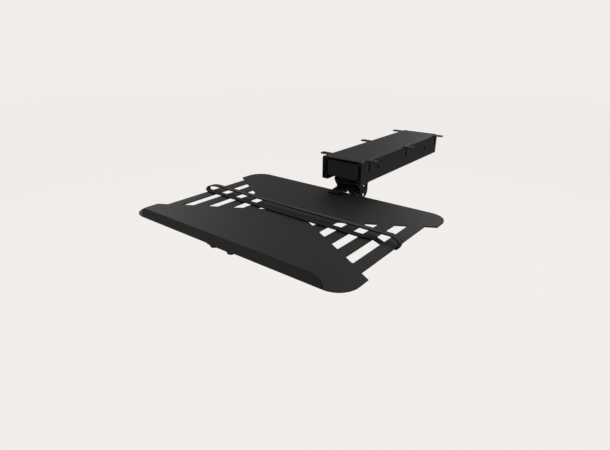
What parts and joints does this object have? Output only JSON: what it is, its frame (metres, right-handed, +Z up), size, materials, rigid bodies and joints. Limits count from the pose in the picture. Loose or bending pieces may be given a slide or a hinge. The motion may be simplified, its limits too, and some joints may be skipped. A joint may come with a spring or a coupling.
{
  "type": "under-desk laptop holder",
  "caption": "Laptop tray that hangs under a desk on a sliding carriage, with a swivel turntable, a tilting fork, a lock lever, a front lip and a strap.",
  "frame": {"origin": "centre of the six desk screw holes, on the desk's underside, which is the top plane of the housing and its tabs", "axes": "+Z up towards the desk, +Y back under the desk away from the user, +X to the user's right"},
  "size_m": [0.412, 0.6222, 0.078],
  "materials": {
    "housing_coat": "matte black powder coat, fine texture",
    "plate_coat": "matte black powder coat",
    "hinge_coat": "satin black coat",
    "tray_coat": "matte black powder coat, fine texture",
    "lever_coat": "satin black coat",
    "slide_steel": "black electrophoretic coat",
    "cage_steel": "zinc-plated sheet",
    "ball_steel": "polished bearing steel",
    "black_fasteners": "black oxide steel",
    "bright_fasteners": "zinc-plated steel",
    "nylon": "black nylon",
    "buffer_rubber": "soft black rubber",
    "strap_webbing": "black woven elastic webbing",
    "grip_plastic": "moulded black plastic"
  },
  "bodies": {
    "housing": {"rail_housing": "housing_coat", "outer_slide_left": "slide_steel", "outer_slide_right": "slide_steel", "slide_wall_screws": "black_fasteners", "slide_stop_buffers": "buffer_rubber"},
    "ball_cages": {"ball_cage_left": "cage_steel", "ball_cage_right": "cage_steel", "slide_balls_left": "ball_steel", "slide_balls_right": "ball_steel"},
    "carriage": {"inner_slide_left": "slide_steel", "inner_slide_right": "slide_steel", "carriage_channel": "housing_coat", "carriage_front_plate": "plate_coat", "carriage_screws": "black_fasteners", "swivel_boss": "hinge_coat", "turntable_plate": "hinge_coat", "turntable_screws": "black_fasteners", "swivel_thrust_ring": "nylon"},
    "swivel_head": {"swivel_disc": "hinge_coat", "tilt_fork": "hinge_coat", "swivel_bolt": "black_fasteners", "swivel_spring_washers": "bright_fasteners", "swivel_nut": "bright_fasteners", "tilt_pin": "black_fasteners", "tilt_nut": "black_fasteners", "tilt_outer_washer": "black_fasteners", "tilt_friction_washers": "nylon", "tilt_spacer_sleeves": "black_fasteners"},
    "tray": {"tray_plate": "tray_coat", "tray_arm": "tray_coat", "tray_studs": "black_fasteners", "tray_nuts": "black_fasteners", "laptop_strap": "strap_webbing"},
    "tilt_lever": {"tilt_lock_lever": "lever_coat", "lever_grip": "grip_plastic"}
  },
  "joints": [
    {"name": "cage_slide", "type": "slide", "parent": "housing", "child": "ball_cages", "axis": [0, -1, 0], "range_m": [0, 0.11]},
    {"name": "carriage_slide", "type": "slide", "parent": "housing", "child": "carriage", "axis": [0, -1, 0], "range_m": [0, 0.22]},
    {"name": "swivel", "type": "hinge", "parent": "carriage", "child": "swivel_head", "pos_m": [0, -0.128, -0.0442], "axis": [0, 0, 1], "range_deg": [-90, 90]},
    {"name": "tilt", "type": "hinge", "parent": "swivel_head", "child": "tray", "pos_m": [0, -0.128, -0.0645], "axis": [-1, 0, 0], "range_deg": [-15, 8]},
    {"name": "lever_lift", "type": "hinge", "parent": "tray", "child": "tilt_lever", "pos_m": [0, -0.128, -0.0645], "axis": [-1, 0, 0], "range_deg": [0, 6]}
  ],
  "couplings": [
    {"joint": "cage_slide", "follows": "carriage_slide", "ratio": 0.5}
  ]
}
